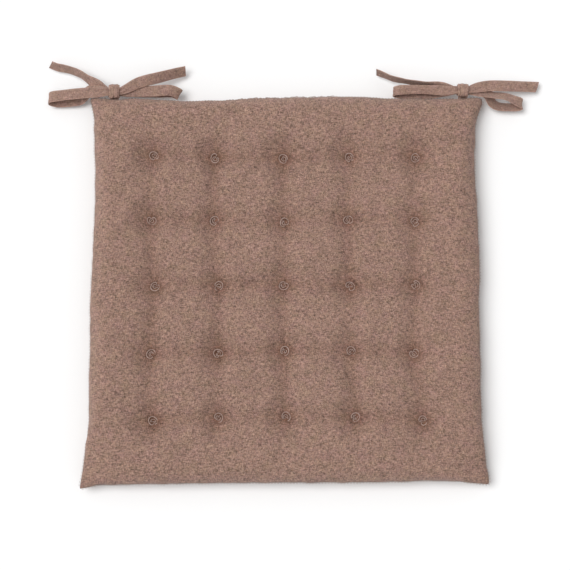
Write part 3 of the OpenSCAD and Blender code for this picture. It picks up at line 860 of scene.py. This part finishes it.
# ---------------------------------------------------------------- ties
LEFT_A = [
    (-168, 200, 16.7, 0, 0, 0.7), (-173, 200, 16.7, 0, 0, 0.7), (-180, 200, 16.5, 0, 0, 0.75), (-189, 201.2, 15.4, 0, 0, 0.9),
    (-198, 201.9, 12.8, 8, 0, 1), (-204.2, 197, 8.6, 24, 0, 1), (-210, 193.7, 5.6, 10, 0, 1), (-224, 192.6, 4, 0, 0, 1),
    (-233, 192.6, 4.3, 0, 0, 1), (-239.2, 194, 7.2, 0, 0, 1), (-237, 195.9, 11.3, 0, 0, 1), (-223, 197, 14.8, 2, 0, 1),
    (-206, 198.2, 17.1, 2, 0, 1), (-194, 198.9, 18, 2, 0, 0.97), (-186, 199.3, 18.1, 1, 0, 0.9),
    (-180, 199.8, 17.9, 0, 0, 0.77), (-173, 200, 17.9, 0, 0, 0.7), (-167, 200.2, 17.9, 0, 0, 0.7),
    (-160.6, 202.4, 18.7, 16, 4, 0.85), (-149.7, 207.6, 19.7, 21, 12, 1), (-140, 210.9, 19.4, 20, 20, 1),
    (-130.7, 213.6, 17.8, 19, 28, 1), (-114.4, 219.4, 12.4, 19, 36, 1), (-101.8, 223.7, 8, 19, 38, 1)]
LEFT_B = [
    (-178.5, 200, 14.1, 0, 0, 0.7), (-173, 200, 14.1, 0, 0, 0.7), (-167, 200, 14, 0, 0, 0.75),
    (-158, 200.4, 13.3, 0, 0, 0.92), (-145, 200.8, 12.7, 0, 0, 1), (-128, 200.8, 12.2, 0, 0, 1), (-114, 200.4, 12, -4, 0, 1),
    (-107.4, 197.8, 12.8, -28, 4, 1), (-109.4, 199, 15.4, -30, 0, 1), (-117, 201.3, 16.8, -10, 0, 1),
    (-130.6, 200.6, 16.6, 1, 0, 1), (-147, 200.2, 16.3, 1, 0, 1), (-158, 200, 15.8, 0, 0, 0.92),
    (-167, 200, 15.4, 0, 0, 0.73), (-173, 200, 15.4, 0, 0, 0.7), (-179, 200.3, 15.3, 0, 0, 0.7),
    (-184, 203.2, 14.8, -26, 2, 0.78), (-189, 206.8, 14.6, -32, 18, 0.92), (-194.6, 210.2, 14, -36, 38, 1),
    (-200.4, 214.2, 13, -38, 54, 1), (-207, 218.8, 12, -34, 60, 1), (-215.6, 223.4, 10, -22, 60, 1),
    (-224, 226, 9, -16, 60, 1), (-231.5, 228, 8, -18, 60, 1), (-239, 230.9, 7, -22, 60, 1)]
RIGHT_A = [
    (173.5, 201.3, 14.1, 0, 0, 0.7), (179, 201.3, 14.1, 0, 0, 0.7), (185.5, 201.4, 13.9, 0, 0, 0.73),
    (195, 203, 13.7, 0, 0, 0.9), (205, 198.4, 11.6, -34, 0, 1), (209, 191.6, 8, -36, -12, 1),
    (214.5, 188, 5.4, -12, -26, 1), (225, 187, 5, -2, -30, 1), (233.5, 187, 5.4, 0, -24, 1),
    (239.4, 188.6, 8, -2, -12, 1), (237.6, 190, 10.8, -20, -12, 1), (230.3, 192.8, 12.4, -28, -24, 1),
    (220, 195.9, 13.4, -11, -38, 1), (208.5, 197.2, 14.2, -2, -38, 1), (199.5, 198.9, 15.2, 0, -26, 0.96),
    (192, 200.4, 15.5, 0, -8, 0.85), (185.5, 201.2, 15.4, 0, 0, 0.73), (179, 201.3, 15.4, 0, 0, 0.7),
    (172.5, 201.4, 15.3, -2, 0, 0.7), (165, 203.3, 15, -12, 16, 0.84), (156, 205.8, 15.4, -9, 44, 0.93),
    (141, 208.2, 14.8, -8, 74, 1), (127.3, 210.6, 13.8, -11, 79, 1), (110, 214.8, 11.8, -20, 77, 1),
    (92.5, 222.4, 9, -27, 75, 1)]
RIGHT_B = [
    (184.5, 201.3, 16.7, 0, 0, 0.7), (179, 201.3, 16.7, 0, 0, 0.7), (172, 201.3, 16.7, 0, 0, 0.73),
    (163, 200.8, 15.9, 0, 0, 0.92), (150, 199.4, 14, 0, 0, 1), (141, 199, 12.8, 2, 4, 1), (132, 199.2, 13, -2, -3, 1), (117, 199.5, 12.3, 0, 0, 1),
    (109.5, 200, 14.2, 0, 0, 0.92), (111, 200.8, 17, -6, 0, 0.88), (117, 201.3, 18.6, -3, 4, 0.9), (124, 201.4, 19, 2, 5, 0.88),
    (132, 201.5, 19, 3, 7, 0.85), (138, 201.5, 18.9, 0, 9, 0.84), (144, 201.3, 18.9, -4, 4, 0.86), (151, 201, 18.9, -2, 0, 0.9),
    (158, 200.6, 18.8, 0, 0, 0.92), (164, 200.6, 18.4, 0, 0, 0.87), (172, 201.2, 18, 0, 0, 0.73),
    (179, 201.3, 17.9, 0, 0, 0.7), (185, 201.4, 17.9, 0, 0, 0.7), (190, 202.8, 18.1, 9, 0, 0.86),
    (196.5, 204.4, 18.1, 9, 0, 0.97), (205.5, 205.7, 17.3, 4, 0, 1), (219.6, 206.4, 15, 1, 0, 1), (237.6, 207, 11, 1, 0, 1),
    (256, 207.5, 6, 1, 0, 1)]

# how far each cut end leans along the tape, in mm either side of its middle
SKEW = {"lefta": 0.2, "leftb": -2.2, "righta": 0.3, "rightb": 2.2}
BOWS = (("left", -173.0, 200.4, 1.02, LEFT_A, LEFT_B, 0.03, 0.05, 40), ("right", 179.0, 201.6, 0.93, RIGHT_A, RIGHT_B, -0.04, -0.03, 60))
for sd, kx, ky, big, ra, rb, yaw, roll, seed in BOWS:
    body = sd + "_bow"
    stitches = []
    for letter, rows in (("a", ra), ("b", rb)):
        o, st, path, length = tape(f"{sd}_tape_{letter}", rows, seed + ord(letter), skew=SKEW[sd + letter])
        dress(o, TAPE, body, "tape_cloth", f"{sd}_tie_tape_{letter}")
        s = dress(joined(f"{sd}_topstitch_{letter}", st), PALE_THREAD, body, "sewing_thread")
    dress(knot_band(f"{sd}_knot", kx, ky, 16.0, yaw, roll, seed, big), TAPE, body, "tape_cloth", f"{sd}_knot_turn")
    # neck: the doubled tape between the seam and the knot
    i = int(np.argmin(np.abs(TOP[:, -1, 0] - kx)))
    s0 = TOP[i, -1]
    rows = [(kx, s0[1] - 2.5, s0[2], 90, 0, 0.85), (kx, s0[1] + 0.5, s0[2] + 0.2, 90, 0, 0.8), (kx, 195, 15.8, 90, 0, 0.72),
            (kx, 197.5, 15.9, 90, 0, 0.66), (kx, 200.5, 16, 90, 0, 0.6)]
    neck, st, _, _ = tape(f"{sd}_neck", rows, seed + 5, 6)
    neck.data.materials.append(TAPE)
    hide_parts(f"{sd}_tie_root")
    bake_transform(neck)
    parts = []
    col = TOP[i, -8:]
    z_in, z_out = (float(np.interp(s0[1] - g, col[:, 1], col[:, 2])) for g in (3.1, 1.4))
    for q in range(-4, 5):
        x = kx + q * 1.05
        parts.append(tube(capsule_points((x - 0.5, s0[1] - 3.1, z_in + 0.25), (x + 0.5, s0[1] - 1.4, z_out + 0.25), (0, 0, 0.3)), np.array([0.12, 0.22, 0.24, 0.22, 0.12]), 5))
    dress(joined(f"{sd}_bartack", parts), THREAD, "pad", "sewing_thread", f"{sd}_root_bartack")

# ---------------------------------------------------------------- floor and light
floor = new_mesh("floor", [(-4000, -4000, 0), (4000, -4000, 0), (4000, 4000, 0), (-4000, 4000, 0)], [(0, 1, 2, 3)], False)
fm = Nodes("floor")
fm.bsdf.inputs["Base Color"].default_value = (0.93, 0.93, 0.93, 1)
fm.bsdf.inputs["Roughness"].default_value = 0.95
floor.data.materials.append(fm.mat)
world = bpy.data.worlds.new("World")
bpy.context.scene.world = world
world.use_nodes = True
world.node_tree.nodes["Background"].inputs[0].default_value = (1, 1, 1, 1)
world.node_tree.nodes["Background"].inputs[1].default_value = 0.58


def sun(name, toward, strength, spread):
    """A broad, even light from the direction given."""
    d = bpy.data.lights.new(name, "SUN")
    d.energy, d.angle = strength, math.radians(spread)
    o = bpy.data.objects.new(name, d)
    bpy.context.scene.collection.objects.link(o)
    o.location = [c * 2 for c in toward]
    o.rotation_euler = (-Vector(toward)).to_track_quat("-Z", "Y").to_euler()
    return o


sun("key", (-0.52, 0.12, 1.0), 1.95, 38)
bpy.context.scene.view_settings.view_transform = "Standard"
